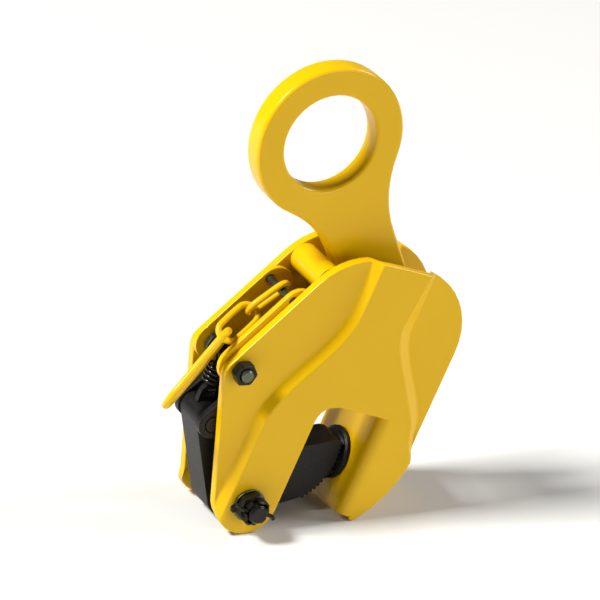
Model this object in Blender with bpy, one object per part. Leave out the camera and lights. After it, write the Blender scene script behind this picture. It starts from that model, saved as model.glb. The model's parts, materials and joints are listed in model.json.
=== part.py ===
"""Plate lifting clamp: two pressed side plates, a toothed cam and a swinging lifting eye.

Each piece is drawn in the clamp's own frame: X across the jaw, Y from front to rear, Z along
the jaw slot, with the cam pin's axis as origin. One empty then leans the whole clamp until
it stands on its two legs. Lengths are metres and angles degrees.
"""

import math

import bmesh
import bpy
from mathutils import Matrix, Vector
from mathutils.geometry import delaunay_2d_cdt

# General
GAP = 0.0003
WELD = 0.000002
ROUND_SIDES = 32
SMALL_SIDES = 20
MITRE_LIMIT = 0.6

# Side plates
PLATE_THICKNESS = 0.006
PLATE_LINK_GAP = 0.0006
BAND_RISE = 0.006
LEG_RADIUS = 0.020
CORNER_X = -0.0512
CORNER_Z = 0.0768
CORNER_RADIUS = 0.012
SHOULDER_LEFT_X = 0.0255
SHOULDER_RIGHT_X = 0.0535
SHOULDER_Z = 0.121
SHOULDER_RADIUS = 0.045
FLANK_RADIUS = 0.0745
FLANK_Z = 0.057
FOOT_WIDTH = 0.0034

# Jaw slot
SLOT_TOP_Z = 0.0726
SLOT_CORNER = 0.013
JAW_WALL_X = 0.0645
JAW_NOSE_WIDTH = 0.008
JAW_NOSE_ROUND = 0.0065
JAW_BLOCK_WIDTH = 0.019
JAW_BLOCK_FOOT = 0.0022
THROAT_STEP = 0.0006

# Raised band pressed into each plate
BAND_LEG_X = -0.0125
BAND_WAIST_LEFT_X = 0.0205
BAND_WAIST_RIGHT_X = 0.0545
BAND_RIGHT_X = 0.089
BAND_SLOPE = 0.007
BAND_LOW_Z = 0.050
BAND_LOW_RIGHT_Z = 0.064
BAND_HIGH_Z = 0.132
BAND_RUNOUT = 0.018
BAND_RUNOUT_HEIGHT = 0.034
SLOPE_LINES = 4
GUIDE_STEP = 0.007

# Cam and its pin
CAM_PIN_RADIUS = 0.009
CAM_PIN_THREAD = 0.006
CAM_PIN_HEAD = 0.0125
CAM_PIN_HEAD_HEIGHT = 0.0035
PIN_EASE = 0.0012
PIN_CLEARANCE = 0.0003
CAM_WIDTH = 0.023
CAM_HUB = 0.019
CAM_FACE_RADIUS = 0.040
CAM_FACE_Z = 0.033
CAM_FACE_START = -48.0
CAM_FACE_END = 18.0
CAM_TEETH = 15
CAM_TOOTH_DEPTH = 0.0016
CAM_TOOTH_TIP = 0.3
CAM_PAD_GAP = 0.0004
CAM_CROWN = 0.004
CAM_BACK_X = 0.014
CAM_BACK_Z = 0.004
CAM_HUB_START = -68.0
CAM_NOTCH = 0.30
CAM_SPACER_RADIUS = 0.0125
ARM_LENGTH = 0.055
ARM_ANGLE = 133.5
ARM_END = 0.0085
LUG_REACH = 0.013
LUG_ROOT = 0.0014
LUG_RADIUS = 0.0064
LUG_WIDTH = 0.004
LUG_HOLE = 0.0034

# Castle nut, washer and split pin on the cam pin
NUT_ACROSS_FLATS = 0.018
NUT_HEIGHT = 0.0105
NUT_EDGE = 0.0007
NUT_SLOT = 0.0036
NUT_SLOT_DEPTH = 0.0042
WASHER_RADIUS = 0.0104
WASHER_THICKNESS = 0.0015
PIN_PROJECTION = 0.0022
SPLIT_WIRE = 0.0013
SPLIT_LEFT = 0.0175
SPLIT_RIGHT = 0.0135
SPLIT_EYE = 0.0022
SPLIT_BEND = 0.002

# Links between the cam's arm and the lifting eye
EYE_PIN_X = 0.036
EYE_PIN_Z = 0.147
LINK_THICKNESS = 0.0054
LINK_HALF_WIDTH = 0.0095
LINK_EDGE = 0.0006
LINK_SIDE_GAP = 0.0005
LINK_PIN_RADIUS = 0.005
EYE_PIN_RADIUS = 0.0065
EYE_PIN_END = 0.0036
RING_THICKNESS = 0.002
RING_HEIGHT = 0.0025
RING_GROOVE = 0.0008
EYE_WASHER_RADIUS = 0.0135

# Lifting eye
EYE_LEAN = 43.5
EYE_LENGTH = 0.104
EYE_OUTER = 0.048
EYE_HOLE = 0.030
EYE_NECK = 0.0205
EYE_FILLET = 0.0735
EYE_THICKNESS = 0.015
EYE_EDGE = 0.0022

# Spacer that the lifting eye leans on
SPACER_RADIUS = 0.009
SPACER_ALONG = 0.0243
SPACER_GAP = 0.0012

# Cheek plates, anchor bolt and chain pin
CHEEK_THICKNESS = 0.0037
CHEEK_EDGE = 0.0006
CHEEK_RADIUS = 0.012
CHEEK_LENGTH = 0.050
BOLT_X = -0.040
BOLT_Z = 0.0793
BOLT_RADIUS = 0.004
BOLT_EASE = 0.0008
BOLT_NUT_FLATS = 0.013
BOLT_NUT_HEIGHT = 0.0068
BOLT_NUT_TURN = 15.0
BOLT_HEAD_RADIUS = 0.0058
BOLT_HEAD_HEIGHT = 0.0014
BOLT_PROJECTION = 0.002
LOCK_NUT_HEIGHT = 0.0045
CHAIN_PIN_OUT = 0.007
CHAIN_PIN_RADIUS = 0.0025

# Closing spring
SPRING_RADIUS = 0.0068
SPRING_WIRE = 0.0011
SPRING_TURNS = 4
SPRING_PITCH = 0.0029
SPRING_HOOK = 0.0057
SPRING_HOOK_DEPTH = 0.0044
SPRING_HOOK_SAG = 0.0032
CURL_POINTS = 10
HOOK_FROM = -150.0
HOOK_STEP = 40.0
HOOK_POINTS = 9
TAIL_FROM = 5.0
TAIL_STEP = 25.0
TAIL_POINTS = 8
WIRE_NEIGHBOURS = 8

# Jaw pad
PAD_RADIUS = 0.0165
PAD_HEIGHT = 0.0035
PAD_STEM = 0.007
PAD_STEM_LENGTH = 0.012
PAD_Z = 0.0335
PAD_RIDGE = 0.0011
PAD_RIDGES = 4

# Chain and pull ring
CHAIN_WIRE = 0.0021
CHAIN_END = 0.0066
CHAIN_STRAIGHT = 0.0155
CHAIN_SEAT = 0.0004
CHAIN_LEAN = 37.5
CHAIN_TWIST = 36.4
LINK_B_HEADING = (-0.648, -0.294, -0.702)
PULL_RING_WIRE = 0.0025
PULL_RING_END = 0.0106
PULL_RING_STRAIGHT = 0.0368
PULL_RING_HEADING = (-0.477, -0.194, -0.857)
PULL_RING_ACROSS = (-0.524, -0.720, 0.455)
PULL_RING_LIFT = 0.0007
PULL_RING_SHIFT = 0.0021

# Finishes: colour, roughness and metallic value
YELLOW_PAINT = ((0.617, 0.371, 0.002), 0.4, 0.0)
BLACK_STEEL = ((0.012, 0.012, 0.011), 0.45, 0.8)
DARK_ZINC = ((0.055, 0.060, 0.045), 0.4, 0.9)
SPRING_STEEL = ((0.020, 0.020, 0.020), 0.35, 0.9)

LINK_INNER = CAM_WIDTH / 2 + LINK_SIDE_GAP
LINK_OUTER = LINK_INNER + LINK_THICKNESS
RECESS_WALL = LINK_OUTER + PLATE_LINK_GAP
RECESS_FACE = RECESS_WALL + PLATE_THICKNESS
BAND_WALL = RECESS_WALL + BAND_RISE
BAND_FACE = RECESS_FACE + BAND_RISE
PAD_FACE_X = JAW_WALL_X - PAD_HEIGHT
FLANK_X = SHOULDER_RIGHT_X + SHOULDER_RADIUS - FLANK_RADIUS
NOSE_END_X = JAW_WALL_X + JAW_NOSE_WIDTH
FOOT_ANGLE = -math.degrees(math.acos((NOSE_END_X + FOOT_WIDTH - FLANK_X) / FLANK_RADIUS))
FOOT_Z = FLANK_Z + FLANK_RADIUS * math.sin(math.radians(FOOT_ANGLE))
ARM_PIN = Vector((math.cos(math.radians(ARM_ANGLE)), math.sin(math.radians(ARM_ANGLE)))) * ARM_LENGTH
EYE_PIN = Vector((EYE_PIN_X, EYE_PIN_Z))
BOLT = Vector((BOLT_X, BOLT_Z))


def polar(angle, radius):
    """Point at an angle in degrees and a distance from the origin."""
    turn = math.radians(angle)
    return Vector((math.cos(turn), math.sin(turn))) * radius


def arc(centre, radius, start, end, steps):
    """Points along an arc, from one angle to another, both included."""
    return [Vector(centre) + polar(start + (end - start) * i / steps, radius) for i in range(steps + 1)]


def circle(centre, radius, sides, clockwise=False):
    """One turn of points, without repeating the first."""
    way = -360.0 if clockwise else 360.0
    return arc(centre, radius, 0.0, way, sides)[:-1]


def smooth(value):
    """Ease from 0 to 1 with level ends."""
    value = min(max(value, 0.0), 1.0)
    return value * value * (3.0 - 2.0 * value)


def angle_of(vector):
    """Direction of a vector in degrees."""
    return math.degrees(math.atan2(vector.y, vector.x))


def tangent_angle(centre, radius, point, side):
    """Angle, at a circle's centre, of the point where a line from outside touches it."""
    away = Vector(point) - Vector(centre)
    return (angle_of(away) + side * math.degrees(math.acos(radius / away.length))) % 360.0


def rounded_corner(before, corner, after, radius, steps):
    """Arc that rounds one corner between two straight runs."""
    to_before = (before - corner).normalized()
    to_after = (after - corner).normalized()
    half = math.acos(max(-1.0, min(1.0, to_before.dot(to_after)))) / 2
    centre = corner + (to_before + to_after).normalized() * radius / math.sin(half)
    start = angle_of(corner + to_before * radius / math.tan(half) - centre)
    end = angle_of(corner + to_after * radius / math.tan(half) - centre)
    end = start + (end - start + 180.0) % 360.0 - 180.0
    return arc(centre, radius, start, end, steps)


def stadium(start, end, radius, steps):
    """Outline with two round ends, anticlockwise."""
    heading = angle_of(Vector(end) - Vector(start))
    first = arc(start, radius, heading + 90.0, heading + 270.0, steps)
    return first + arc(end, radius, heading - 90.0, heading + 90.0, steps)


def inset_loop(loop, distance):
    """Loop moved to its left by a distance, with mitred corners."""
    moved = []
    for index, point in enumerate(loop):
        back = (point - loop[index - 1]).normalized()
        ahead = (loop[(index + 1) % len(loop)] - point).normalized()
        left = Vector((-back.y - ahead.y, back.x + ahead.x))
        left = left / max(left.length_squared / 2, MITRE_LIMIT)
        moved.append(point + left * distance)
    return moved


def inside(point, loop):
    """Whether a point lies inside a closed loop."""
    hit = False
    for index, b in enumerate(loop):
        a = loop[index - 1]
        if (a.y > point.y) != (b.y > point.y):
            if point.x < a.x + (point.y - a.y) * (b.x - a.x) / (b.y - a.y):
                hit = not hit
    return hit


def fill(loops, guides=()):
    """Triangles of the area between an outer loop and its holes, with guide lines as edges."""
    points = []
    edges = []
    for loop in loops:
        first = len(points)
        points += loop
        edges += [(first + i, first + (i + 1) % len(loop)) for i in range(len(loop))]
    for guide in guides:
        first = len(points)
        points += guide
        edges += [(first + i, first + i + 1) for i in range(len(guide) - 1)]
    made, _, faces, _, _, _ = delaunay_2d_cdt(points, edges, [], 0, WELD / 20)
    kept = []
    for face in faces:
        middle = sum((made[i] for i in face), Vector((0.0, 0.0))) / len(face)
        if inside(middle, loops[0]) and not any(inside(middle, hole) for hole in loops[1:]):
            kept.append(face)
    return made, kept


def paint(name, finish):
    """Principled material of one piece."""
    colour, roughness, metallic = finish
    material = bpy.data.materials.new(name + "_finish")
    material.use_nodes = True
    shader = material.node_tree.nodes["Principled BSDF"]
    shader.inputs["Base Color"].default_value = (*colour, 1.0)
    shader.inputs["Roughness"].default_value = roughness
    shader.inputs["Metallic"].default_value = metallic
    return material


def place(name, data, finish, at=(0.0, 0.0), y=0.0, turn=0.0):
    """Object on the clamp's frame, at a point of its X-Z plane, turned anticlockwise seen from the front."""
    item = bpy.data.objects.new(name, data)
    bpy.context.collection.objects.link(item)
    item.parent = clamp_frame
    item.location = (at[0], y, at[1])
    item.rotation_euler = (0.0, -math.radians(turn), 0.0)
    data.materials.append(paint(name, finish))
    return item


def solid(bm, name, smooth_angle=35.0):
    """Mesh of a bmesh with its faces pointing out, smooth but for sharp edges."""
    bmesh.ops.remove_doubles(bm, verts=bm.verts, dist=WELD)
    loose = [vert for vert in bm.verts if not vert.link_faces]
    bmesh.ops.delete(bm, geom=loose, context="VERTS")
    bmesh.ops.recalc_face_normals(bm, faces=bm.faces)
    mesh = bpy.data.meshes.new(name)
    bm.to_mesh(mesh)
    bm.free()
    mesh.shade_smooth()
    mesh.set_sharp_from_angle(angle=math.radians(smooth_angle))
    return mesh


def flat_solid(name, loops, front, rear, edge=0.0):
    """Plate between two Y values, with the outer loop anticlockwise and its holes clockwise.

    The edges round off over the given distance, on the outline and on the holes.
    """
    if edge > 0.0:
        share = 1.0 - math.sqrt(0.5)
        section = [(edge, front), (edge * share, front + edge * share), (0.0, front + edge)]
        section += [(0.0, rear - edge), (edge * share, rear - edge * share), (edge, rear)]
    else:
        section = [(0.0, front), (0.0, rear)]
    bm = bmesh.new()
    for loop in loops:
        rows = []
        for inset, y in section:
            rows.append([bm.verts.new((p.x, y, p.y)) for p in inset_loop(loop, inset)])
        for row, other in zip(rows, rows[1:]):
            for i in range(len(loop)):
                k = (i + 1) % len(loop)
                bm.faces.new((row[i], row[k], other[k], other[i]))
    caps = [inset_loop(loop, section[0][0]) for loop in loops]
    made, faces = fill(caps)
    for y in (front, rear):
        cap = [bm.verts.new((p.x, y, p.y)) for p in made]
        for face in faces:
            bm.faces.new([cap[i] for i in face])
    return solid(bm, name)


def turned(name, section, sides, axis="Y", closed=False):
    """Solid turned round an axis from (radius, height) pairs. A closed section makes a ring."""
    bm = bmesh.new()
    rows = []
    for radius, height in section:
        row = []
        for point in circle((0.0, 0.0), radius, sides):
            spot = (point.x, height, point.y) if axis == "Y" else (height, point.x, point.y)
            row.append(bm.verts.new(spot))
        rows.append(row)
    pairs = list(zip(rows, rows[1:]))
    if closed:
        pairs.append((rows[-1], rows[0]))
    else:
        bm.faces.new(rows[0])
        bm.faces.new(rows[-1])
    for row, other in pairs:
        for i in range(sides):
            k = (i + 1) % sides
            bm.faces.new((row[i], row[k], other[k], other[i]))
    return solid(bm, name)


def tube(name, points, wire, closed, sides_step=1):
    """Round wire along a line of points."""
    data = bpy.data.curves.new(name, "CURVE")
    data.dimensions = "3D"
    spline = data.splines.new("POLY")
    spline.points.add(len(points) - 1)
    for spot, point in zip(spline.points, points):
        spot.co = (*point, 1.0)
    spline.use_cyclic_u = closed
    data.bevel_depth = wire
    data.bevel_resolution = sides_step
    data.use_fill_caps = not closed
    data.twist_mode = "MINIMUM"
    return data


def cut(target, tool, operation="DIFFERENCE"):
    """Boolean of one object by another, which stays as a hidden guide."""
    tool.hide_render = True
    tool.display_type = "WIRE"
    step = target.modifiers.new(operation.lower() + "_" + tool.name, "BOOLEAN")
    step.operation = operation
    step.object = tool
    step.solver = "EXACT"


def plate_outline():
    """Outline of a side plate, anticlockwise from the right foot."""
    corner = Vector((CORNER_X, CORNER_Z))
    shoulder_left = Vector((SHOULDER_LEFT_X, SHOULDER_Z))
    shoulder_right = Vector((SHOULDER_RIGHT_X, SHOULDER_Z))
    line_top = tangent_angle(shoulder_left, SHOULDER_RADIUS, corner, -1)
    line_leg = tangent_angle((0.0, 0.0), LEG_RADIUS, corner, 1)
    touch_top = shoulder_left + polar(line_top, SHOULDER_RADIUS)
    touch_leg = polar(line_leg, LEG_RADIUS)
    slot_corner = Vector((LEG_RADIUS + SLOT_CORNER, SLOT_TOP_Z - SLOT_CORNER))
    throat_end = JAW_WALL_X - GAP
    nose_end = NOSE_END_X + GAP
    step_z = SLOT_TOP_Z - THROAT_STEP
    points = arc((FLANK_X, FLANK_Z), FLANK_RADIUS, FOOT_ANGLE, 0.0, 9)
    points += arc(shoulder_right, SHOULDER_RADIUS, 0.0, 90.0, 10)
    points += arc(shoulder_left, SHOULDER_RADIUS, 90.0, line_top, 8)
    points += rounded_corner(touch_top, corner, touch_leg, CORNER_RADIUS, 6)
    points += arc((0.0, 0.0), LEG_RADIUS, line_leg, 360.0, 14)
    points += arc(slot_corner, SLOT_CORNER, 180.0, 90.0, 6)
    points += [Vector((throat_end, SLOT_TOP_Z)), Vector((throat_end, step_z))]
    points += [Vector((nose_end, step_z)), Vector((nose_end, FOOT_Z))]
    return points


def band_left(z):
    """Left crest of the raised band at a height."""
    share = smooth((z - BAND_LOW_Z) / (BAND_HIGH_Z - BAND_LOW_Z))
    return BAND_LEG_X + (BAND_WAIST_LEFT_X - BAND_LEG_X) * share


def band_right(z):
    """Right crest of the raised band at a height, running off the plate's edge lower down."""
    share = smooth((z - BAND_LOW_RIGHT_Z) / (BAND_HIGH_Z - BAND_LOW_RIGHT_Z))
    crest = BAND_RIGHT_X + (BAND_WAIST_RIGHT_X - BAND_RIGHT_X) * share
    return crest + BAND_RUNOUT * smooth((BAND_LOW_RIGHT_Z - z) / BAND_RUNOUT_HEIGHT)


def band_rise(x, z):
    """Height of the pressed band over the recessed face."""
    left = smooth((x - band_left(z)) / BAND_SLOPE + 1.0)
    right = smooth((band_right(z) - x) / BAND_SLOPE + 1.0)
    return BAND_RISE * left * right


def side_plate(name, side):
    """Pressed plate of one thickness, with side -1 for the front and 1 for the rear."""
    loops = [plate_outline()]
    loops.append(circle((0.0, 0.0), CAM_PIN_RADIUS + PIN_CLEARANCE, ROUND_SIDES, True))
    loops.append(circle(BOLT, BOLT_RADIUS + PIN_CLEARANCE, SMALL_SIDES, True))
    low = -LEG_RADIUS - GUIDE_STEP
    rows = math.ceil((SHOULDER_Z + SHOULDER_RADIUS + GUIDE_STEP - low) / GUIDE_STEP)
    heights = [low + GUIDE_STEP * row for row in range(rows + 1)]
    guides = []
    for line in range(SLOPE_LINES + 1):
        shift = BAND_SLOPE * line / SLOPE_LINES
        guides.append([Vector((band_left(z) - shift, z)) for z in heights])
        guides.append([Vector((band_right(z) + shift, z)) for z in heights])
    made, faces = fill(loops, guides)
    bm = bmesh.new()
    outer = []
    inner = []
    for point in made:
        face = RECESS_FACE + band_rise(point.x, point.y)
        outer.append(bm.verts.new((point.x, side * face, point.y)))
        inner.append(bm.verts.new((point.x, side * (face - PLATE_THICKNESS), point.y)))
    uses = {}
    for face in faces:
        bm.faces.new([outer[i] for i in face])
        bm.faces.new([inner[i] for i in reversed(face)])
        for a, b in zip(face, list(face[1:]) + [face[0]]):
            key = (min(a, b), max(a, b))
            uses[key] = uses.get(key, 0) + 1
    for (a, b), count in uses.items():
        if count == 1:
            bm.faces.new((outer[a], outer[b], inner[b], inner[a]))
    place(name, solid(bm, name), YELLOW_PAINT)


def jaw_block():
    """Fixed jaw between the plates, with a rounded nose that fills the slot's right side."""
    foot = FOOT_Z + JAW_BLOCK_FOOT
    right = JAW_WALL_X + JAW_BLOCK_WIDTH
    left = JAW_WALL_X + JAW_NOSE_WIDTH / 2
    top = SLOT_TOP_Z - THROAT_STEP - GAP
    body = [Vector((left, foot)), Vector((NOSE_END_X, foot))]
    body += [Vector((right, foot + right - NOSE_END_X)), Vector((right, top)), Vector((left, top))]
    wall = BAND_WALL - GAP
    block = place("jaw_block", flat_solid("jaw_block", [body], -wall, wall), YELLOW_PAINT)
    centre_x = JAW_WALL_X + JAW_NOSE_ROUND
    centre_y = BAND_FACE - JAW_NOSE_ROUND
    section = [Vector((NOSE_END_X, -BAND_FACE)), Vector((NOSE_END_X, BAND_FACE))]
    section += arc((centre_x, centre_y), JAW_NOSE_ROUND, 90.0, 180.0, 6)
    section += arc((centre_x, -centre_y), JAW_NOSE_ROUND, 180.0, 270.0, 6)
    bm = bmesh.new()
    low = [bm.verts.new((p.x, p.y, foot - GAP)) for p in section]
    high = [bm.verts.new((p.x, p.y, top)) for p in section]
    bm.faces.new(low)
    bm.faces.new(high)
    for i in range(len(section)):
        k = (i + 1) % len(section)
        bm.faces.new((low[i], low[k], high[k], high[i]))
    nose = place("jaw_nose_guide", solid(bm, "jaw_nose"), YELLOW_PAINT)
    cut(block, nose, "UNION")
    bore = PAD_STEM + PIN_CLEARANCE
    deep = PAD_STEM_LENGTH + 2 * GAP
    mesh = turned("pad_bore", [(bore, -deep), (bore, deep)], SMALL_SIDES, "X")
    cut(block, place("pad_bore_guide", mesh, YELLOW_PAINT, (JAW_WALL_X, PAD_Z)))


def jaw_pad():
    """Round jaw pad with ridges on its face, turning on a stem in the jaw block."""
    rim = PAD_RADIUS
    section = [(PAD_STEM, PAD_STEM_LENGTH), (PAD_STEM, -GAP), (rim, -GAP), (rim, PAD_RIDGE - PAD_HEIGHT)]
    pitch = rim / (PAD_RIDGES + 0.5)
    for ridge in range(PAD_RIDGES):
        section.append((rim - pitch * (ridge + 0.5), -PAD_HEIGHT))
        section.append((rim - pitch * (ridge + 1), PAD_RIDGE - PAD_HEIGHT))
    place("jaw_pad", turned("jaw_pad", section, SMALL_SIDES + 4, "X"), BLACK_STEEL, (JAW_WALL_X, PAD_Z))


def cam():
    """Toothed cam with the arm that the links pull, turning on the cam pin."""
    face = Vector((PAD_FACE_X - CAM_PAD_GAP - CAM_FACE_RADIUS, CAM_FACE_Z))
    root = CAM_FACE_RADIUS - CAM_TOOTH_DEPTH
    step = (CAM_FACE_END - CAM_FACE_START) / CAM_TEETH
    outline = []
    for tooth in range(CAM_TEETH):
        angle = CAM_FACE_START + step * tooth
        outline.append(face + polar(angle, root))
        outline.append(face + polar(angle + step * (1.0 - CAM_TOOTH_TIP) / 2, CAM_FACE_RADIUS))
        outline.append(face + polar(angle + step * (1.0 + CAM_TOOTH_TIP) / 2, CAM_FACE_RADIUS))
    tip = face + polar(CAM_FACE_END, root)
    outline += [tip, tip + Vector((-CAM_CROWN, 0.0)), face + Vector((CAM_BACK_X, CAM_BACK_Z))]
    arm_side = polar(ARM_ANGLE - 90.0, ARM_END)
    outline.append(ARM_PIN * CAM_NOTCH + arm_side)
    outline += arc(ARM_PIN, ARM_END, ARM_ANGLE - 90.0, ARM_ANGLE + 90.0, 10)
    outline += arc((0.0, 0.0), CAM_HUB, ARM_ANGLE + 90.0, 360.0 + CAM_HUB_START, 8)
    bore = circle((0.0, 0.0), CAM_PIN_RADIUS + PIN_CLEARANCE, ROUND_SIDES, True)
    eye = circle(ARM_PIN, LINK_PIN_RADIUS + PIN_CLEARANCE, SMALL_SIDES, True)
    half = CAM_WIDTH / 2
    body = place("cam", flat_solid("cam", [outline, bore, eye], -half, half), BLACK_STEEL)
    heading = angle_of(lug_centre() - ARM_PIN)
    base = ARM_PIN + polar(heading, LINK_PIN_RADIUS + PIN_CLEARANCE + LUG_ROOT)
    lug = arc(lug_centre(), LUG_RADIUS, heading - 90.0, heading + 90.0, 8)
    lug += [base + polar(heading + 90.0, LUG_RADIUS), base + polar(heading - 90.0, LUG_RADIUS)]
    hole = circle(lug_centre(), LUG_HOLE, SMALL_SIDES, True)
    mesh = flat_solid("lug", [lug, hole], -LUG_WIDTH / 2, LUG_WIDTH / 2)
    cut(body, place("lug_guide", mesh, BLACK_STEEL), "UNION")


def lug_centre():
    """Centre of the hole on the cam's arm where the spring hooks in."""
    return ARM_PIN + (BOLT - ARM_PIN).normalized() * LUG_REACH


def cam_pin():
    """Cam pin with a round head behind the rear plate and a thread for the nut in front."""
    rear = BAND_FACE + GAP
    front = -BAND_FACE - WASHER_THICKNESS - 2 * GAP
    tail = front - NUT_HEIGHT - PIN_PROJECTION
    section = [(CAM_PIN_HEAD - PIN_EASE, rear + CAM_PIN_HEAD_HEIGHT)]
    section += [(CAM_PIN_HEAD, rear + CAM_PIN_HEAD_HEIGHT - PIN_EASE), (CAM_PIN_HEAD, rear)]
    section += [(CAM_PIN_RADIUS, rear), (CAM_PIN_RADIUS, -BAND_FACE)]
    section += [(CAM_PIN_THREAD, -BAND_FACE), (CAM_PIN_THREAD, tail + PIN_EASE)]
    section.append((CAM_PIN_THREAD - PIN_EASE, tail))
    pin = place("cam_pin", turned("cam_pin", section, ROUND_SIDES), BLACK_STEEL)
    reach = 2 * CAM_PIN_THREAD
    across = [(SPLIT_WIRE + PIN_CLEARANCE, -reach), (SPLIT_WIRE + PIN_CLEARANCE, reach)]
    hole = place("split_hole_guide", turned("split_hole", across, 12, "X"), BLACK_STEEL, y=split_y())
    cut(pin, hole)
    bore = CAM_PIN_RADIUS + PIN_CLEARANCE
    for end, side in (("front", -1), ("rear", 1)):
        near = side * (CAM_WIDTH / 2 + GAP)
        far = side * (BAND_WALL - GAP)
        washer("cam_spacer_" + end, bore, CAM_SPACER_RADIUS, near, far, DARK_ZINC, (0.0, 0.0))
    bore = CAM_PIN_THREAD + GAP
    washer("cam_pin_washer", bore, WASHER_RADIUS, -BAND_FACE - GAP, front + GAP, DARK_ZINC, (0.0, 0.0))
    hexagon = [polar(90.0 + 60.0 * i, NUT_ACROSS_FLATS / math.sqrt(3.0)) for i in range(6)]
    thread = circle((0.0, 0.0), CAM_PIN_THREAD + GAP, ROUND_SIDES, True)
    nut_mesh = flat_solid("castle_nut", [hexagon, thread], front - NUT_HEIGHT, front, NUT_EDGE)
    nut = place("castle_nut", nut_mesh, BLACK_STEEL)
    for turn in (0.0, 60.0, 120.0):
        bm = bmesh.new()
        bmesh.ops.create_cube(bm, size=1.0)
        size = (2 * NUT_ACROSS_FLATS, 2 * NUT_SLOT_DEPTH, NUT_SLOT)
        bmesh.ops.scale(bm, vec=size, verts=bm.verts)
        slot = place("slot_guide", solid(bm, "slot"), BLACK_STEEL, y=front - NUT_HEIGHT, turn=turn)
        cut(nut, slot)


def split_y():
    """Depth of the split pin, at the middle of the castle nut's slots."""
    return -BAND_FACE - WASHER_THICKNESS - 2 * GAP - NUT_HEIGHT + NUT_SLOT_DEPTH / 2


def split_pin():
    """Split pin through the cam pin, with its eye on the left and a bent leg on the right."""
    bend = NUT_ACROSS_FLATS / 2
    points = [Vector((SPLIT_RIGHT, 0.0, -SPLIT_BEND))]
    points.append(Vector((SPLIT_RIGHT - SPLIT_WIRE, 0.0, -SPLIT_BEND / 3)))
    points += [Vector((bend + SPLIT_WIRE, 0.0, 0.0)), Vector((-bend, 0.0, 0.0))]
    centre = Vector((SPLIT_EYE - SPLIT_LEFT, 0.0))
    points += [Vector((p.x, 0.0, p.y)) for p in arc(centre, SPLIT_EYE, 40.0, 265.0, 5)]
    place("split_pin", tube("split_pin", points, SPLIT_WIRE, False), BLACK_STEEL, y=split_y())


def links():
    """Two link bars from the cam's arm to the lifting eye, and the pin at their lower end."""
    run = EYE_PIN - ARM_PIN
    end = Vector((run.length, 0.0))
    outline = stadium((0.0, 0.0), end, LINK_HALF_WIDTH, 10)
    low = circle((0.0, 0.0), LINK_PIN_RADIUS + PIN_CLEARANCE, SMALL_SIDES, True)
    high = circle(end, EYE_PIN_RADIUS + PIN_CLEARANCE, SMALL_SIDES, True)
    for name, side in (("link_front", -1), ("link_rear", 1)):
        near, far = sorted((side * LINK_INNER, side * LINK_OUTER))
        mesh = flat_solid(name, [outline, low, high], near, far, LINK_EDGE)
        place(name, mesh, BLACK_STEEL, ARM_PIN, turn=angle_of(run))
    section = [(LINK_PIN_RADIUS, LINK_OUTER), (LINK_PIN_RADIUS, -LINK_OUTER)]
    place("link_pin", turned("link_pin", section, SMALL_SIDES), BLACK_STEEL, ARM_PIN)


def washer(name, bore, rim, start, end, finish, at):
    """Flat ring between two Y values."""
    section = [(bore, start), (rim, start), (rim, end), (bore, end)]
    place(name, turned(name, section, SMALL_SIDES, closed=True), finish, at)


def eye_pin():
    """Pin between the links and the lifting eye, with its retaining rings and washers."""
    groove = LINK_OUTER + GAP
    top = groove + RING_THICKNESS + 2 * GAP
    tail = LINK_OUTER + EYE_PIN_END
    floor = EYE_PIN_RADIUS - RING_GROOVE
    section = [(EYE_PIN_RADIUS, tail), (EYE_PIN_RADIUS, top), (floor, top), (floor, groove)]
    section.append((EYE_PIN_RADIUS, groove))
    section += [(radius, -y) for radius, y in reversed(section)]
    place("eye_pin", turned("eye_pin", section, SMALL_SIDES), BLACK_STEEL, EYE_PIN)
    rim = EYE_PIN_RADIUS + RING_HEIGHT
    bore = EYE_PIN_RADIUS + PIN_CLEARANCE
    for end, side in (("front", -1), ("rear", 1)):
        near = side * (groove + GAP)
        far = near + side * RING_THICKNESS
        washer("eye_pin_ring_" + end, floor + GAP, rim, near, far, DARK_ZINC, EYE_PIN)
        near = side * (EYE_THICKNESS / 2 + GAP)
        far = side * (LINK_INNER - GAP)
        washer("eye_washer_" + end, bore, EYE_WASHER_RADIUS, near, far, DARK_ZINC, EYE_PIN)


def lifting_eye():
    """Lifting eye with its neck and foot, turning on the pin at the head of the links."""
    centre = Vector((0.0, EYE_LENGTH))
    reach = EYE_OUTER + EYE_FILLET
    side = EYE_NECK + EYE_FILLET
    drop = math.sqrt(reach ** 2 - side ** 2)
    fillet = Vector((side, EYE_LENGTH - drop))
    touch = angle_of(centre - fillet)
    outline = arc((0.0, 0.0), EYE_NECK, 180.0, 360.0, 14)
    outline += arc(fillet, EYE_FILLET, 180.0, touch, 8)
    ring_start = angle_of(fillet - centre)
    outline += arc(centre, EYE_OUTER, ring_start, 180.0 - ring_start, 36)[1:-1]
    mirror = [Vector((-p.x, p.y)) for p in arc(fillet, EYE_FILLET, 180.0, touch, 8)]
    outline += list(reversed(mirror))
    outline = outline[:-1]
    hole = circle(centre, EYE_HOLE, ROUND_SIDES + 8, True)
    bore = circle((0.0, 0.0), EYE_PIN_RADIUS + PIN_CLEARANCE, SMALL_SIDES, True)
    half = EYE_THICKNESS / 2
    mesh = flat_solid("lifting_eye", [outline, hole, bore], -half, half, EYE_EDGE)
    place("lifting_eye", mesh, YELLOW_PAINT, EYE_PIN, turn=EYE_LEAN)


def lean_point(across, along):
    """Point of the leaning lifting eye's own frame, in the clamp's frame."""
    turn = math.radians(EYE_LEAN)
    x = across * math.cos(turn) - along * math.sin(turn)
    z = across * math.sin(turn) + along * math.cos(turn)
    return EYE_PIN + Vector((x, z))


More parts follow.
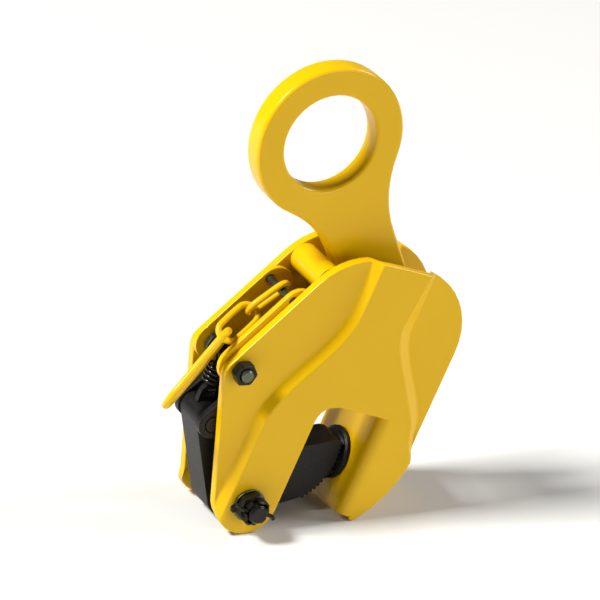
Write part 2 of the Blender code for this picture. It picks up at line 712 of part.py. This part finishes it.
def spacer():
    """Spacer tube welded between the plates, where the lifting eye comes to lean."""
    wall = RECESS_WALL - GAP
    at = lean_point(-(EYE_NECK + SPACER_RADIUS + SPACER_GAP), SPACER_ALONG)
    section = [(SPACER_RADIUS, wall), (SPACER_RADIUS, -wall)]
    place("spacer", turned("spacer", section, ROUND_SIDES), YELLOW_PAINT, at)


def edge_heading():
    """Direction of the side plates' straight upper left edge, in degrees."""
    corner = Vector((CORNER_X, CORNER_Z))
    shoulder = Vector((SHOULDER_LEFT_X, SHOULDER_Z))
    touch = shoulder + polar(tangent_angle(shoulder, SHOULDER_RADIUS, corner, -1), SHOULDER_RADIUS)
    return angle_of(touch - corner)


def cheek_end():
    """Centre of the cheek plates' upper round end."""
    return BOLT + polar(edge_heading(), CHEEK_LENGTH)


def chain_pin_centre():
    """Centre of the chain pin, out towards the plates' edge from the cheeks' upper end."""
    return cheek_end() + polar(edge_heading() + 90.0, CHAIN_PIN_OUT)


def cheeks_and_bolt():
    """Cheek plates inside the side plates, the anchor bolt with its nuts, and the chain pin."""
    outline = stadium(BOLT, cheek_end(), CHEEK_RADIUS, 10)
    hole = circle(BOLT, BOLT_RADIUS + PIN_CLEARANCE, SMALL_SIDES, True)
    chain_hole = circle(chain_pin_centre(), CHAIN_PIN_RADIUS + PIN_CLEARANCE, SMALL_SIDES, True)
    outer = RECESS_WALL - GAP
    inner = outer - CHEEK_THICKNESS
    for name, near, far in (("cheek_front", -outer, -inner), ("cheek_rear", inner, outer)):
        place(name, flat_solid(name, [outline, hole, chain_hole], near, far, CHEEK_EDGE), YELLOW_PAINT)
    pin_end = outer - GAP
    section = [(CHAIN_PIN_RADIUS, pin_end), (CHAIN_PIN_RADIUS, -pin_end)]
    place("chain_pin", turned("chain_pin", section, SMALL_SIDES), DARK_ZINC, chain_pin_centre())
    face = RECESS_FACE + GAP
    head = face + BOLT_HEAD_HEIGHT
    tail = -face - BOLT_NUT_HEIGHT - BOLT_PROJECTION
    section = [(BOLT_HEAD_RADIUS - BOLT_EASE, head), (BOLT_HEAD_RADIUS, head - BOLT_EASE)]
    section += [(BOLT_HEAD_RADIUS, face), (BOLT_RADIUS, face)]
    section += [(BOLT_RADIUS, tail + BOLT_EASE), (BOLT_RADIUS - BOLT_EASE, tail)]
    place("anchor_bolt", turned("anchor_bolt", section, SMALL_SIDES), BLACK_STEEL, BOLT)
    hexagon = [polar(60.0 * i + BOLT_NUT_TURN, BOLT_NUT_FLATS / math.sqrt(3.0)) for i in range(6)]
    thread = circle((0.0, 0.0), BOLT_RADIUS + GAP, SMALL_SIDES, True)
    mesh = flat_solid("anchor_nut", [hexagon, thread], -face - BOLT_NUT_HEIGHT, -face, NUT_EDGE)
    place("anchor_nut", mesh, BLACK_STEEL, BOLT)
    near = inner - GAP - LOCK_NUT_HEIGHT
    mesh = flat_solid("anchor_lock_nut", [hexagon, thread], near, inner - GAP, NUT_EDGE)
    place("anchor_lock_nut", mesh, DARK_ZINC, BOLT)


def closing_spring():
    """Spring from the anchor bolt to the lug on the cam's arm, as one wire with a hook at each end."""
    run = lug_centre() - BOLT
    along = Vector((run.x, 0.0, run.y)).normalized()
    across = Vector((along.z, 0.0, -along.x))
    depth = Vector((0.0, 1.0, 0.0))
    coil = SPRING_TURNS * SPRING_PITCH
    start = (run.length - coil) / 2 + SPRING_PITCH / 2
    points = []
    for i in range(HOOK_POINTS):
        turn = math.radians(HOOK_FROM + HOOK_STEP * i)
        points.append((across * math.sin(turn) + along * math.cos(turn)) * -SPRING_HOOK)
    for i in range(-1, SPRING_TURNS * CURL_POINTS + 1):
        turn = 2.0 * math.pi * i / CURL_POINTS
        ring = across * math.sin(turn) + depth * math.cos(turn)
        points.append(ring * SPRING_RADIUS + along * (start + SPRING_PITCH * i / CURL_POINTS))
    reach = run.length - LUG_HOLE + SPRING_WIRE + 2 * GAP
    for i in range(TAIL_POINTS):
        turn = math.radians(TAIL_FROM + TAIL_STEP * i)
        sag = SPRING_HOOK_SAG * (1.0 - math.sin(turn))
        points.append(depth * math.cos(turn) * SPRING_HOOK_DEPTH + along * (reach - sag))
    place("closing_spring", tube("closing_spring", points, SPRING_WIRE, False), SPRING_STEEL, BOLT)
    print("closing_spring least gap to itself, mm:", round(least_gap(points, SPRING_WIRE) * 1000, 2))


def least_gap(points, wire):
    """Least distance between two stretches of one wire that aren't neighbours, less its thickness."""
    fine = []
    for a, b in zip(points, points[1:]):
        fine += [a.lerp(b, k / 6) for k in range(6)]
    reach = 0.0
    lengths = []
    for a, b in zip(fine, fine[1:]):
        lengths.append(reach)
        reach += (b - a).length
    least = 1.0
    for i, a in enumerate(fine[:-1]):
        for k in range(i + 1, len(fine) - 1):
            if lengths[k] - lengths[i] > WIRE_NEIGHBOURS * wire:
                least = min(least, (a - fine[k]).length)
    return least - 2 * wire


def loop_points(end, straight, steps=8):
    """Centre line of a round-ended loop that hangs down from the centre of its upper end."""
    return arc((0.0, 0.0), end, 0.0, 180.0, steps) + arc((0.0, -straight), end, 180.0, 360.0, steps)


def aimed(heading, across):
    """Rotation that turns straight down to a heading and the sideways direction towards another."""
    down = Vector(heading).normalized()
    side = Vector(across)
    side = (side - down * side.dot(down)).normalized()
    return Matrix((side, side.cross(down), -down)).transposed().to_euler()


def chain():
    """Two chain links and the pull ring, hanging from the chain pin past the plates' corner."""
    hang = CHAIN_END - CHAIN_WIRE - CHAIN_PIN_RADIUS - CHAIN_SEAT
    loop = loop_points(CHAIN_END, CHAIN_STRAIGHT)
    data = tube("chain_link_a", [Vector((p.x, 0.0, p.y - hang)) for p in loop], CHAIN_WIRE, True, 2)
    link = place("chain_link_a", data, YELLOW_PAINT, chain_pin_centre())
    lean = math.radians(CHAIN_LEAN)
    twist = math.radians(CHAIN_TWIST)
    heading = Vector((-math.sin(lean), 0.0, -math.cos(lean)))
    across = Vector((math.cos(lean), 0.0, -math.sin(lean))) * math.cos(twist)
    link.rotation_euler = aimed(heading, across + Vector((0.0, math.sin(twist), 0.0)))
    reach = hang + CHAIN_STRAIGHT + CHAIN_END - 2 * CHAIN_WIRE - CHAIN_SEAT
    second = link.location + heading * reach
    data = tube("chain_link_b", [Vector((p.x, 0.0, p.y - CHAIN_END)) for p in loop], CHAIN_WIRE, True, 2)
    link = place("chain_link_b", data, YELLOW_PAINT)
    link.location = second
    ring_face = Vector(PULL_RING_ACROSS).cross(Vector(PULL_RING_HEADING))
    link.rotation_euler = aimed(LINK_B_HEADING, ring_face)
    reach = 2 * CHAIN_END + CHAIN_STRAIGHT - CHAIN_WIRE - PULL_RING_WIRE - CHAIN_SEAT - PULL_RING_LIFT
    loop = loop_points(PULL_RING_END, PULL_RING_STRAIGHT, 10)
    points = [Vector((p.x + PULL_RING_SHIFT, 0.0, p.y - PULL_RING_END)) for p in loop]
    ring = place("pull_ring", tube("pull_ring", points, PULL_RING_WIRE, True, 2), YELLOW_PAINT)
    ring.location = second + Vector(LINK_B_HEADING).normalized() * reach
    ring.rotation_euler = aimed(PULL_RING_HEADING, PULL_RING_ACROSS)


def stand():
    """Lean the clamp until both legs touch the ground, and centre it over the origin."""
    tip = Vector((FLANK_X, FLANK_Z)) + polar(FOOT_ANGLE, FLANK_RADIUS)
    lean = math.asin(LEG_RADIUS / tip.length) + math.atan2(tip.y, tip.x)
    clamp_frame.rotation_euler = (0.0, lean, 0.0)
    bpy.context.view_layer.update()
    depsgraph = bpy.context.evaluated_depsgraph_get()
    spots = []
    for item in clamp_frame.children:
        if item.hide_render:
            continue
        shape = item.evaluated_get(depsgraph).to_mesh()
        spots += [item.matrix_world @ v.co for v in shape.vertices]
    low = [min(spot[i] for spot in spots) for i in range(3)]
    high = [max(spot[i] for spot in spots) for i in range(3)]
    clamp_frame.location = (-(low[0] + high[0]) / 2, -(low[1] + high[1]) / 2, -low[2])


for old in list(bpy.data.objects):
    bpy.data.objects.remove(old, do_unlink=True)

clamp_frame = bpy.data.objects.new("clamp_frame", None)
bpy.context.collection.objects.link(clamp_frame)
side_plate("side_plate_front", -1)
side_plate("side_plate_rear", 1)
jaw_block()
jaw_pad()
cam()
cam_pin()
split_pin()
links()
eye_pin()
lifting_eye()
spacer()
cheeks_and_bolt()
closing_spring()
chain()
stand()
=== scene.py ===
# Plate lifting clamp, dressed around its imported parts.
import json
import math

import bpy
from mathutils import Matrix, Vector


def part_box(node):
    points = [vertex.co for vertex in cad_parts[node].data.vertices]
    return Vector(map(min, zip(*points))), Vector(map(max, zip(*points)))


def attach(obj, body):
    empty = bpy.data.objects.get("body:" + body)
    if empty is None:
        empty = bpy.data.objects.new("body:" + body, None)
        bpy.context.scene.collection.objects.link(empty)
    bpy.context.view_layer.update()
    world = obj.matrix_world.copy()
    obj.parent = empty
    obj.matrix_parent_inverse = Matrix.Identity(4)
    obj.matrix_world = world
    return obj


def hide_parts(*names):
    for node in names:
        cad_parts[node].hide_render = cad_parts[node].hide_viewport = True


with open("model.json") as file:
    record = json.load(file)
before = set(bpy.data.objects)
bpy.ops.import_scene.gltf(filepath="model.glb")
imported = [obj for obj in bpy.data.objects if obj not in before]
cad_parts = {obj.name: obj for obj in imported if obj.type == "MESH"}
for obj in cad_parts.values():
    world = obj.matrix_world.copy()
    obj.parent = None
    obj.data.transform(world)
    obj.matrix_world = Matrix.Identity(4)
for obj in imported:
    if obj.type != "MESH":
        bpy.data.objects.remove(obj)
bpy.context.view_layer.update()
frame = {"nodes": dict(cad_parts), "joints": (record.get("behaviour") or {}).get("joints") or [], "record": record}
nodes = frame["nodes"]
print("packed parts:", len(nodes))


def middle(node):
    low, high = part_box(node)
    return (low + high) / 2


acrossJaw = next(joint["axis"] for joint in frame["joints"] if joint["name"] == "pad_swivel")
leanCos, leanSin = acrossJaw[0], -acrossJaw[2]   # the clamp leans on its two legs
pinMiddle = middle("cam_pin")
depthMiddle = (middle("side_plate_front").y + middle("side_plate_rear").y) / 2


# The clamp's own axes, in mm: zero on the cam pin at mid-depth, x across the jaw, z up along the slot.
def heading(x, y, z):  # a direction in the clamp's own axes
    return Vector((leanCos * x + leanSin * z, y, leanCos * z - leanSin * x))


def spot(x, y, z):  # a place in the clamp's own axes, in mm
    return Vector((pinMiddle.x, depthMiddle, pinMiddle.z)) + heading(x, y, z) / 1000


def ownPlace(point):  # the other way round: mm in the clamp's own axes
    away = (point - spot(0, 0, 0)) * 1000
    return leanCos * away.x - leanSin * away.z, away.y, leanSin * away.x + leanCos * away.z


# Camera: a long lens and a square frame. The three directions are in the clamp's own axes.
view = {
    "right": (0.8037, -0.446, 0.3944),
    "up": (-0.194, 0.431, 0.8815),
    "back": (-0.563, -0.785, 0.260),
    "mmPerPixel": 0.6,
    "pinPixel": (227.0, 481.2),   # where the cam pin's middle shows
    "frame": 600,   # pixels on a side
    "distance": 3.0,
    "sensor": 36,
    "clipEnd": 50,
}


def setCamera():
    right, up, back = (heading(*view[side]).normalized() for side in ("right", "up", "back"))
    half = view["frame"] / 2
    across = (half - view["pinPixel"][0]) * view["mmPerPixel"] / 1000
    rise = (view["pinPixel"][1] - half) * view["mmPerPixel"] / 1000
    target = spot(0, 0, 0) + right * across + up * rise
    place = target + back * view["distance"]
    bpy.ops.object.camera_add(location=place)
    camera = bpy.context.active_object
    camera.name = "viewCamera"
    turn = Matrix((right, back.cross(right), back)).transposed().to_4x4()
    camera.matrix_world = Matrix.Translation(place) @ turn
    camera.data.sensor_width = view["sensor"]
    camera.data.lens = view["sensor"] * view["distance"] / (view["frame"] * view["mmPerPixel"] / 1000)
    camera.data.clip_end = view["clipEnd"]
    bpy.context.scene.camera = camera


setCamera()
print("camera set")

# Studio: pale floor, a strong light at the upper left, a weak wide one low at the right front and a third
# at the upper right.
studio = {
    "floor": "#E4E3DF",
    "floorSize": 14,
    "floorRough": (0.75, 0.85),
    "mottleMm": 400,
    "world": "#F6F7FA",
    "worldStrength": 0.1,
    "aim": (0, 0, 0.14),   # near the clamp's middle
    "key": {"place": (-2.8, 0.35, 3.1), "size": 0.9, "power": 265},
    "fill": {"place": (1.5, -3.0, 0.8), "size": 1.6, "power": 32},
    "rim": {"place": (2.9, -0.5, 2.2), "size": 1.0, "power": 60},
}


def hexColour(text):  # sRGB hex to linear
    parts = [int(text[i:i + 2], 16) / 255 for i in (1, 3, 5)]
    return [p / 12.92 if p <= 0.04045 else ((p + 0.055) / 1.055) ** 2.4 for p in parts] + [1.0]


def addNode(tree, kind, props=None, values=None, links=None):
    node = tree.nodes.new(kind)
    for name, value in (props or {}).items():
        setattr(node, name, value)
    for name, value in (values or {}).items():
        node.inputs[name].default_value = value
    for name, socket in (links or {}).items():
        tree.links.new(socket, node.inputs[name])
    return node


def perMetre(sizeMm):  # texture scale for a pattern of that size
    return 1000 / sizeMm


def freshMaterial(name):
    material = bpy.data.materials.new(name)
    material.use_nodes = True
    material.node_tree.nodes.clear()
    tree = material.node_tree
    place = addNode(tree, "ShaderNodeTexCoord").outputs["Object"]
    return material, tree, place


def closeMaterial(tree, shader):
    addNode(tree, "ShaderNodeOutputMaterial", links={"Surface": shader.outputs["BSDF"]})


def setStudio():
    bpy.ops.mesh.primitive_plane_add(size=studio["floorSize"], location=(0, 0, 0))
    floor = bpy.context.active_object
    floor.name = "studioFloor"
    material, tree, place = freshMaterial("matt floor paint")
    mottle = addNode(tree, "ShaderNodeTexNoise", values={"Scale": perMetre(studio["mottleMm"])},
                     links={"Vector": place})
    rough = addNode(tree, "ShaderNodeMapRange",
                    values={"To Min": studio["floorRough"][0], "To Max": studio["floorRough"][1]},
                    links={"Value": mottle.outputs["Fac"]})
    shader = addNode(tree, "ShaderNodeBsdfPrincipled",
                     values={"Base Color": hexColour(studio["floor"])},
                     links={"Roughness": rough.outputs["Result"]})
    closeMaterial(tree, shader)
    floor.data.materials.append(material)
    world = bpy.data.worlds.new("studioWorld")
    bpy.context.scene.world = world
    world.use_nodes = True
    backdrop = world.node_tree.nodes["Background"]
    backdrop.inputs["Color"].default_value = hexColour(studio["world"])
    backdrop.inputs["Strength"].default_value = studio["worldStrength"]
    for name in ("key", "fill", "rim"):
        lamp = studio[name]
        bpy.ops.object.light_add(type="AREA", location=lamp["place"])
        light = bpy.context.active_object
        light.name = name + "Light"
        light.data.size = lamp["size"]
        light.data.energy = lamp["power"]
        aim = Vector(studio["aim"]) - Vector(lamp["place"])
        light.rotation_euler = aim.to_track_quat("-Z", "Y").to_euler()


setStudio()
bpy.context.scene.view_settings.view_transform = "Standard"   # plain photo colours
print("studio set")

# Finishes.
mixSocket = {"amount": 0, "dark": 6, "pale": 7, "colour": 2}   # a mix node's colour sockets go by number
enamel = {
    "shades": ("#DDAE00", "#E6B700"),
    "cloudMm": 60,
    "smearMm": 18,
    "rough": (0.26, 0.36),
    "peelMm": 2.6,
    "peel": 0.06,
}


def makeEnamel():  # stoved enamel on pressed steel: glossy, with a faint orange peel
    material, tree, place = freshMaterial("stoved yellow enamel")
    cloud = addNode(tree, "ShaderNodeTexNoise",
                    values={"Scale": perMetre(enamel["cloudMm"]), "Detail": 3},
                    links={"Vector": place})
    shade = addNode(tree, "ShaderNodeMix", {"data_type": "RGBA"},
                    {mixSocket["dark"]: hexColour(enamel["shades"][0]),
                     mixSocket["pale"]: hexColour(enamel["shades"][1])},
                    {mixSocket["amount"]: cloud.outputs["Fac"]})
    smear = addNode(tree, "ShaderNodeTexNoise",
                    values={"Scale": perMetre(enamel["smearMm"]), "Detail": 4},
                    links={"Vector": place})
    rough = addNode(tree, "ShaderNodeMapRange",
                    values={"To Min": enamel["rough"][0], "To Max": enamel["rough"][1]},
                    links={"Value": smear.outputs["Fac"]})
    peel = addNode(tree, "ShaderNodeTexNoise",
                   values={"Scale": perMetre(enamel["peelMm"]), "Detail": 2},
                   links={"Vector": place})
    bump = addNode(tree, "ShaderNodeBump", values={"Strength": enamel["peel"], "Distance": 0.001},
                   links={"Height": peel.outputs["Fac"]})
    shader = addNode(tree, "ShaderNodeBsdfPrincipled",
                     values={"IOR": 1.5, "Specular IOR Level": 0.2,
                             "Coat Weight": 0.12, "Coat Roughness": 0.08},
                     links={"Base Color": shade.outputs[mixSocket["colour"]],
                            "Roughness": rough.outputs["Result"], "Normal": bump.outputs["Normal"]})
    closeMaterial(tree, shader)
    return material


def makeDarkSteel(name, steel):
    material, tree, place = freshMaterial(name)
    grain = addNode(tree, "ShaderNodeTexNoise",
                    values={"Scale": perMetre(steel["grainMm"]), "Detail": 5},
                    links={"Vector": place})
    shade = addNode(tree, "ShaderNodeMix", {"data_type": "RGBA"},
                    {mixSocket["dark"]: hexColour(steel["shades"][0]),
                     mixSocket["pale"]: hexColour(steel["shades"][1])},
                    {mixSocket["amount"]: grain.outputs["Fac"]})
    sheen = addNode(tree, "ShaderNodeMapRange",
                    values={"To Min": steel["rough"][0], "To Max": steel["rough"][1]},
                    links={"Value": grain.outputs["Fac"]})
    bump = addNode(tree, "ShaderNodeBump", values={"Strength": steel["relief"], "Distance": 0.0005},
                   links={"Height": grain.outputs["Fac"]})
    shader = addNode(tree, "ShaderNodeBsdfPrincipled", values={"Metallic": steel["metallic"]},
                     links={"Base Color": shade.outputs[mixSocket["colour"]],
                            "Roughness": sheen.outputs["Result"], "Normal": bump.outputs["Normal"]})
    closeMaterial(tree, shader)
    return material


yellowEnamel = makeEnamel()
# forged alloy steel, hardened and oil-blackened: satin black with a fine scale grain
forgedBlack = makeDarkSteel("oil-blackened forged steel", {
    "shades": ("#131313", "#2A2928"), "grainMm": 1.6, "rough": (0.36, 0.56), "metallic": 0.7, "relief": 0.25})
# black oxide on machined fasteners: dark brown-black with a soft shine
blackOxide = makeDarkSteel("black oxide fastener steel", {
    "shades": ("#1B1B17", "#302F29"), "grainMm": 2.5, "rough": (0.28, 0.42), "metallic": 0.8, "relief": 0.12})
# olive zinc plate: greenish grey metal
oliveZinc = makeDarkSteel("olive zinc-plated steel", {
    "shades": ("#4C5140", "#6A6F5B"), "grainMm": 3.0, "rough": (0.28, 0.42), "metallic": 0.9, "relief": 0.08})
# patented spring wire, oiled: smooth and nearly black
springWire = makeDarkSteel("oiled spring wire", {
    "shades": ("#242322", "#3B3A37"), "grainMm": 2.0, "rough": (0.18, 0.28), "metallic": 0.9, "relief": 0.05})
slotFinish = {
    "yellow_paint": yellowEnamel,
    "black_steel": blackOxide,
    "dark_zinc": oliveZinc,
    "spring_steel": springWire,
}
nodeSlot = {row["node"]: row["material_slot"] for row in frame["record"]["subparts"]}
nodeBody = {node: body for body, members in frame["record"]["behaviour"]["bodies"].items()
            for node in members}
print("finishes made")

meshing = {"merge": 0.004, "flat": 0.5, "smooth": 40}   # mm, then degrees


def makeActive(piece):
    bpy.ops.object.select_all(action="DESELECT")
    piece.select_set(True)
    bpy.context.view_layer.objects.active = piece


def editAll():  # edit mode with everything selected
    bpy.ops.object.mode_set(mode="EDIT")
    bpy.ops.mesh.select_all(action="SELECT")


def editSharp(angle):  # edit mode with only the sharp edges selected
    bpy.ops.object.mode_set(mode="EDIT")
    bpy.ops.mesh.select_mode(type="EDGE")
    bpy.ops.mesh.select_all(action="DESELECT")
    bpy.ops.mesh.edges_select_sharp(sharpness=math.radians(angle))


def editVertices(piece, wanted):  # edit mode with only those vertices selected
    bpy.ops.object.mode_set(mode="EDIT")
    bpy.ops.mesh.select_mode(type="VERT")
    bpy.ops.mesh.select_all(action="DESELECT")
    bpy.ops.object.mode_set(mode="OBJECT")
    for vertex, flag in zip(piece.data.vertices, wanted):
        vertex.select = flag
    bpy.ops.object.mode_set(mode="EDIT")


def leaveEdit():
    bpy.ops.object.mode_set(mode="OBJECT")


def copyOf(node, name):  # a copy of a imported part, its corners merged
    piece = bpy.data.objects.new(name, nodes[node].data.copy())
    bpy.context.scene.collection.objects.link(piece)
    makeActive(piece)
    bpy.ops.mesh.customdata_custom_splitnormals_clear()
    editAll()
    bpy.ops.mesh.remove_doubles(threshold=meshing["merge"] / 1000)
    leaveEdit()
    return piece


def flatCopyOf(node, name):  # a copy whose flat faces lose their triangles
    piece = copyOf(node, name)
    editAll()
    bpy.ops.mesh.dissolve_limited(angle_limit=math.radians(meshing["flat"]))
    leaveEdit()
    return piece


def applyModifier(piece, kind, **settings):
    modifier = piece.modifiers.new(kind.lower(), kind)
    for name, value in settings.items():
        setattr(modifier, name, value)
    bpy.context.view_layer.objects.active = piece
    bpy.ops.object.modifier_apply(modifier=modifier.name)


def finishPiece(piece, node, material, smoothAngle=meshing["smooth"]):
    makeActive(piece)
    bpy.ops.object.shade_smooth_by_angle(angle=math.radians(smoothAngle))
    applyModifier(piece, "WEIGHTED_NORMAL", keep_sharp=True)   # flats stay flat beside rounded edges
    piece.data.materials.clear()
    piece.data.materials.append(material)
    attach(piece, nodeBody[node])
    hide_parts(node)


def roundedPiece(node, name, edge, finish, angle=50, segments=3):  # edges broken as on a real part
    piece = flatCopyOf(node, name)
    applyModifier(piece, "BEVEL", width=edge / 1000, segments=segments, limit_method="ANGLE",
                  angle_limit=math.radians(angle), use_clamp_overlap=False, miter_outer="MITER_ARC")
    finishPiece(piece, node, finish)


# Side plates and jaw block: one painted weldment, so their edges stay sharp where they meet on the face.
weldment = {
    "plateEdge": 0.9,
    "blockEdge": 0.7,
    "segments": 3,
    "sharp": 50,
    "noseDepth": 29,   # the nose's two ends lie past this depth
    "gap": 0.02,
    "reach": 0.5,
}


def pastNose(place):
    return abs(place[1]) > weldment["noseDepth"]


blockPlaces = [ownPlace(vertex.co) for vertex in nodes["jaw_block"].data.vertices]
noseSide = max(place[0] for place in blockPlaces if pastNose(place))
noseTop = max(place[2] for place in blockPlaces if pastNose(place))


def sideGap(place):
    return noseSide - place[0] if place[2] < noseTop + weldment["reach"] else math.inf


def topGap(place):
    return noseTop - place[2] if place[0] < noseSide + weldment["reach"] else math.inf


def onSeam(place):
    return pastNose(place) and min(abs(sideGap(place)), abs(topGap(place))) < weldment["reach"]


def closeSeam(piece):  # the plate's cut-out moves up to the nose of the jaw block
    for gapOf, axis in ((sideGap, (1, 0, 0)), (topGap, (0, 0, 1))):
        places = [ownPlace(vertex.co) for vertex in piece.data.vertices]
        wanted = [-weldment["reach"] < gapOf(place) < 0 for place in places]
        editVertices(piece, wanted)
        step = gapOf(places[wanted.index(True)]) + weldment["gap"]
        bpy.ops.transform.translate(value=heading(*axis) * step / 1000)
        leaveEdit()


pressing = {
    "middle": 45,
    "recess": 24,
    "band": 30,
    "margin": 0.1,
    "crest": 5,
    "fadeLow": (60, 84),   # no shift at the first height, the whole shift at the second
    "fadeHigh": (150, 128),
}


def onSlope(place):
    shallow = pressing["recess"] + pressing["margin"]
    deep = pressing["band"] - pressing["margin"]
    return place[0] > pressing["middle"] and shallow < abs(place[1]) < deep


def easeCrest(piece):  # the band falls away to the right in a wider, softer slope
    places = [ownPlace(vertex.co) for vertex in piece.data.vertices]
    slope = {i for i, place in enumerate(places) if onSlope(place)}
    sides = {i for line in piece.data.edges for i in line.vertices if slope & set(line.vertices)}
    for i in sides:
        depth, height = abs(places[i][1]), places[i][2]
        rise = (depth - pressing["recess"]) / (pressing["band"] - pressing["recess"])
        shift = -pressing["crest"] * max(rise, 0)
        for end, full in (pressing["fadeLow"], pressing["fadeHigh"]):
            shift *= min(max((height - end) / (full - end), 0), 1)
        piece.data.vertices[i].co += heading(shift, 0, 0) / 1000


def weldedPiece(node, name, edge):
    piece = flatCopyOf(node, name)
    if node != "jaw_block":
        closeSeam(piece)
        easeCrest(piece)
    editSharp(weldment["sharp"])
    bpy.ops.transform.edge_bevelweight(value=1)
    leaveEdit()
    weights = piece.data.attributes["bevel_weight_edge"].data
    for line, weight in zip(piece.data.edges, weights):
        ends = [piece.data.vertices[i].co for i in line.vertices]
        if onSeam(ownPlace((ends[0] + ends[1]) / 2)):
            weight.value = 0
    applyModifier(piece, "BEVEL", width=edge / 1000, segments=weldment["segments"],
                  limit_method="WEIGHT", use_clamp_overlap=False, miter_outer="MITER_ARC")
    finishPiece(piece, node, yellowEnamel)


weldedPiece("side_plate_front", "frontPlate", weldment["plateEdge"])
weldedPiece("side_plate_rear", "rearPlate", weldment["plateEdge"])
weldedPiece("jaw_block", "jawBlock", weldment["blockEdge"])
print("plates and jaw block welded")

# Edges in mm, angles in degrees.
forgings = {
    "lifting_eye": {"name": "liftingEye", "edge": 0.8, "finish": yellowEnamel, "angle": 25},
    "spacer": {"name": "spacerBar", "edge": 0.5, "finish": yellowEnamel},
    "cheek_front": {"name": "frontCheek", "edge": 0.5, "finish": yellowEnamel},
    "cheek_rear": {"name": "rearCheek", "edge": 0.5, "finish": yellowEnamel},
    "cam": {"name": "toothedCam", "edge": 0.25, "finish": forgedBlack, "segments": 2},
    "link_front": {"name": "frontLink", "edge": 0.4, "finish": forgedBlack, "angle": 30, "segments": 2},
    "link_rear": {"name": "rearLink", "edge": 0.4, "finish": forgedBlack, "angle": 30, "segments": 2},
    "jaw_pad": {"name": "jawPad", "edge": 0.25, "finish": forgedBlack, "segments": 2},
}
for node, settings in forgings.items():
    roundedPiece(node, **settings)
print("forgings rounded")

fastener = {"cornerCut": 0.95, "sides": 64, "rim": 60, "smooth": 25}


def turnedBlank(node, radius, nearEnd, farEnd, cut):  # a round bar along the nut's axis, rims chamfered
    low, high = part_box(node)
    place = Vector(((low.x + high.x) / 2, (nearEnd + farEnd) / 2, (low.z + high.z) / 2))
    bpy.ops.object.select_all(action="DESELECT")
    bpy.ops.mesh.primitive_cylinder_add(vertices=fastener["sides"], radius=radius,
                                        depth=farEnd - nearEnd, location=place,
                                        rotation=(math.pi / 2, 0, 0))
    blank = bpy.context.active_object
    bpy.ops.object.transform_apply(location=True, rotation=True, scale=True)
    editSharp(fastener["rim"])
    bpy.ops.mesh.bevel(offset=cut / 1000, segments=1)
    leaveEdit()
    return blank


def cornerRadius(node):
    axis = middle(node)
    corners = [vertex.co for vertex in nodes[node].data.vertices]
    return max(math.hypot(corner.x - axis.x, corner.z - axis.z) for corner in corners)


def cutDown(piece, operation, tool):
    applyModifier(piece, "BOOLEAN", operation=operation, object=tool, solver="EXACT")
    bpy.data.objects.remove(tool)


def hexNut(node, name, material):  # corners turned off to a cone, as on a bought nut
    low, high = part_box(node)
    nut = flatCopyOf(node, name)
    blank = turnedBlank(node, cornerRadius(node), low.y, high.y, fastener["cornerCut"])
    cutDown(nut, "INTERSECT", blank)
    finishPiece(nut, node, material, fastener["smooth"])


# The blanks run on behind the nut, so that only its front is cut.
crown = {"radius": 7.9, "height": 4.2, "cut": 0.6, "hexBehind": 2, "crownBehind": 1}


def castleNut(node, name):  # the slotted end is turned down to a round crown
    low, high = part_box(node)
    nut = flatCopyOf(node, name)
    shape = turnedBlank(node, cornerRadius(node), low.y + crown["height"] / 1000,
                        high.y + crown["hexBehind"] / 1000, fastener["cornerCut"])
    neck = turnedBlank(node, crown["radius"] / 1000, low.y,
                       high.y + crown["crownBehind"] / 1000, crown["cut"])
    cutDown(shape, "UNION", neck)
    cutDown(nut, "INTERSECT", shape)
    finishPiece(nut, node, blackOxide, fastener["smooth"])


castleNut("castle_nut", "castleNut")
hexNut("anchor_nut", "anchorNut", blackOxide)
hexNut("anchor_lock_nut", "anchorLockNut", oliveZinc)
turnings = {
    "cam_pin": {"name": "camPin", "edge": 0.3, "finish": blackOxide, "segments": 2},
    "anchor_bolt": {"name": "anchorBolt", "edge": 0.3, "finish": oliveZinc, "segments": 2},
    "cam_pin_washer": {"name": "camPinWasher", "edge": 0.3, "finish": oliveZinc, "segments": 2},
}
for node, settings in turnings.items():
    roundedPiece(node, **settings)
print("fasteners finished")

bentWire = {"quads": 60, "levels": 2, "smooth": 60}


def tubePiece(node, name, finish, swell):  # bent wire, rounded off; the swell makes up for the rounding
    piece = copyOf(node, name)
    editAll()
    bpy.ops.mesh.tris_convert_to_quads(face_threshold=math.radians(bentWire["quads"]),
                                       shape_threshold=math.radians(bentWire["quads"]))
    bpy.ops.transform.shrink_fatten(value=swell / 1000)
    leaveEdit()
    applyModifier(piece, "SUBSURF", levels=bentWire["levels"], render_levels=bentWire["levels"])
    finishPiece(piece, node, finish, bentWire["smooth"])


wires = {
    "chain_link_a": {"name": "chainLinkInner", "finish": yellowEnamel, "swell": 0.1},
    "chain_link_b": {"name": "chainLinkOuter", "finish": yellowEnamel, "swell": 0.1},
    "pull_ring": {"name": "pullRing", "finish": yellowEnamel, "swell": 0.1},
    "closing_spring": {"name": "closingSpring", "finish": springWire, "swell": 0.06},
}
for node, settings in wires.items():
    tubePiece(node, **settings)
print("chain and spring rounded")

for node, part in nodes.items():
    if not part.hide_render:
        part.data.materials.clear()
        part.data.materials.append(slotFinish[nodeSlot[node]])
print("other parts finished")
